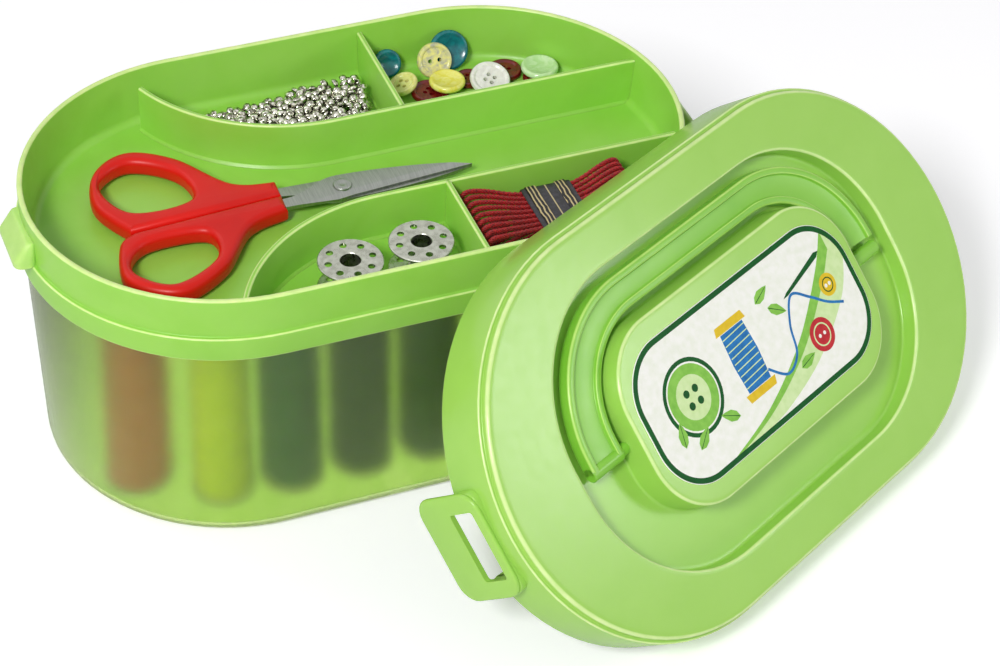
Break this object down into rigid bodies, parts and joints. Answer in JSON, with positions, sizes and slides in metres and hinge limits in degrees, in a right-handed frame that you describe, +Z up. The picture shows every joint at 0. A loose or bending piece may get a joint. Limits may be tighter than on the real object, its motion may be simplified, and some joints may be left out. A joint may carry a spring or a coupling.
{
  "type": "sewing box",
  "caption": "Oval sewing box with a frosted tub, a lift-out compartment tray with scissors, bobbins, buttons and floss, and a snap lid with a folding handle.",
  "frame": {"origin": "centre of the tub's flat underside", "axes": "+X along the box's long axis, +Y from the leaning lid at the front to the back, +Z up"},
  "size_m": [0.313, 0.2346, 0.1145],
  "materials": {
    "frosted_tub": "frosted translucent green polypropylene",
    "lime_plastic": "satin lime green polypropylene",
    "handle_plastic": "satin green polypropylene",
    "label_film": "printed film",
    "steel": "ground steel",
    "red_plastic": "gloss red",
    "bright_metal": "nickel plate",
    "cream_button": "cream",
    "white_button": "white",
    "yellow_button": "yellow",
    "pale_button": "pale yellow and grey",
    "clear_button": "clear",
    "teal_button": "teal",
    "maroon_button": "dark red",
    "red_floss": "mercerised cotton",
    "black_paper": "coated paper",
    "gold_tie": "metallic thread",
    "spool_plastic": "moulded plastic",
    "orange_thread": "wound cotton",
    "yellow_thread": "wound cotton",
    "teal_thread": "wound cotton",
    "green_thread": "wound cotton",
    "sea_thread": "wound cotton",
    "olive_thread": "wound cotton"
  },
  "bodies": {
    "tub": {"tub": "frosted_tub", "spool_orange": "spool_plastic", "spool_yellow": "spool_plastic", "spool_teal": "spool_plastic", "spool_green": "spool_plastic", "spool_sea": "spool_plastic", "spool_olive": "spool_plastic", "thread_orange": "orange_thread", "thread_yellow": "yellow_thread", "thread_teal": "teal_thread", "thread_green": "green_thread", "thread_sea": "sea_thread", "thread_olive": "olive_thread"},
    "tray": {"tray": "lime_plastic", "button_cream": "cream_button", "button_white": "white_button", "button_yellow": "yellow_button", "button_pale": "pale_button", "button_clear": "clear_button", "button_teal_left": "teal_button", "button_teal_right": "teal_button", "button_maroon_left": "maroon_button", "button_maroon_middle": "maroon_button", "button_maroon_right": "maroon_button", "button_maroon_under": "maroon_button", "press_studs": "bright_metal", "floss_hank": "red_floss", "floss_band": "black_paper", "floss_tie_left": "gold_tie", "floss_tie_right": "gold_tie"},
    "lid": {"lid": "lime_plastic", "lid_label": "label_film"},
    "lid_handle": {"lid_handle": "handle_plastic"},
    "scissors": {"scissors_rivet": "steel"},
    "scissors_front": {"scissors_blade_front": "steel", "scissors_handle_front": "red_plastic"},
    "scissors_back": {"scissors_blade_back": "steel", "scissors_handle_back": "red_plastic"},
    "bobbin_1": {"bobbin_1": "bright_metal"},
    "bobbin_2": {"bobbin_2": "bright_metal"}
  },
  "joints": [
    {"name": "tray_lift", "type": "slide", "parent": "tub", "child": "tray", "axis": [0, 0, 1], "range_m": [0, 0.06]},
    {"name": "lid_off", "type": "slide", "parent": "tray", "child": "lid", "axis": [0.3645, -0.674, 0.6425], "range_m": [0, 0.06]},
    {"name": "handle_swing", "type": "hinge", "parent": "lid", "child": "lid_handle", "pos_m": [0.09482, -0.09667, 0.06273], "axis": [0.8796, 0.4756, 0], "range_deg": [0, 180]},
    {"name": "scissors_lift", "type": "slide", "parent": "tray", "child": "scissors", "axis": [0, 0, 1], "range_m": [0, 0.04]},
    {"name": "scissors_open_front", "type": "hinge", "parent": "scissors", "child": "scissors_front", "pos_m": [-0.0055, -0.0017, 0.085], "axis": [0, 0, 1], "range_deg": [0, 10]},
    {"name": "scissors_open_back", "type": "hinge", "parent": "scissors", "child": "scissors_back", "pos_m": [-0.0055, -0.0017, 0.085], "axis": [0, 0, 1], "range_deg": [-10, 0]},
    {"name": "bobbin_1_lift", "type": "slide", "parent": "tray", "child": "bobbin_1", "axis": [0, 0, 1], "range_m": [0, 0.035]},
    {"name": "bobbin_2_lift", "type": "slide", "parent": "tray", "child": "bobbin_2", "axis": [0, 0, 1], "range_m": [0, 0.035]}
  ],
  "couplings": [
    {"joint": "scissors_open_back", "follows": "scissors_open_front", "ratio": -1}
  ]
}
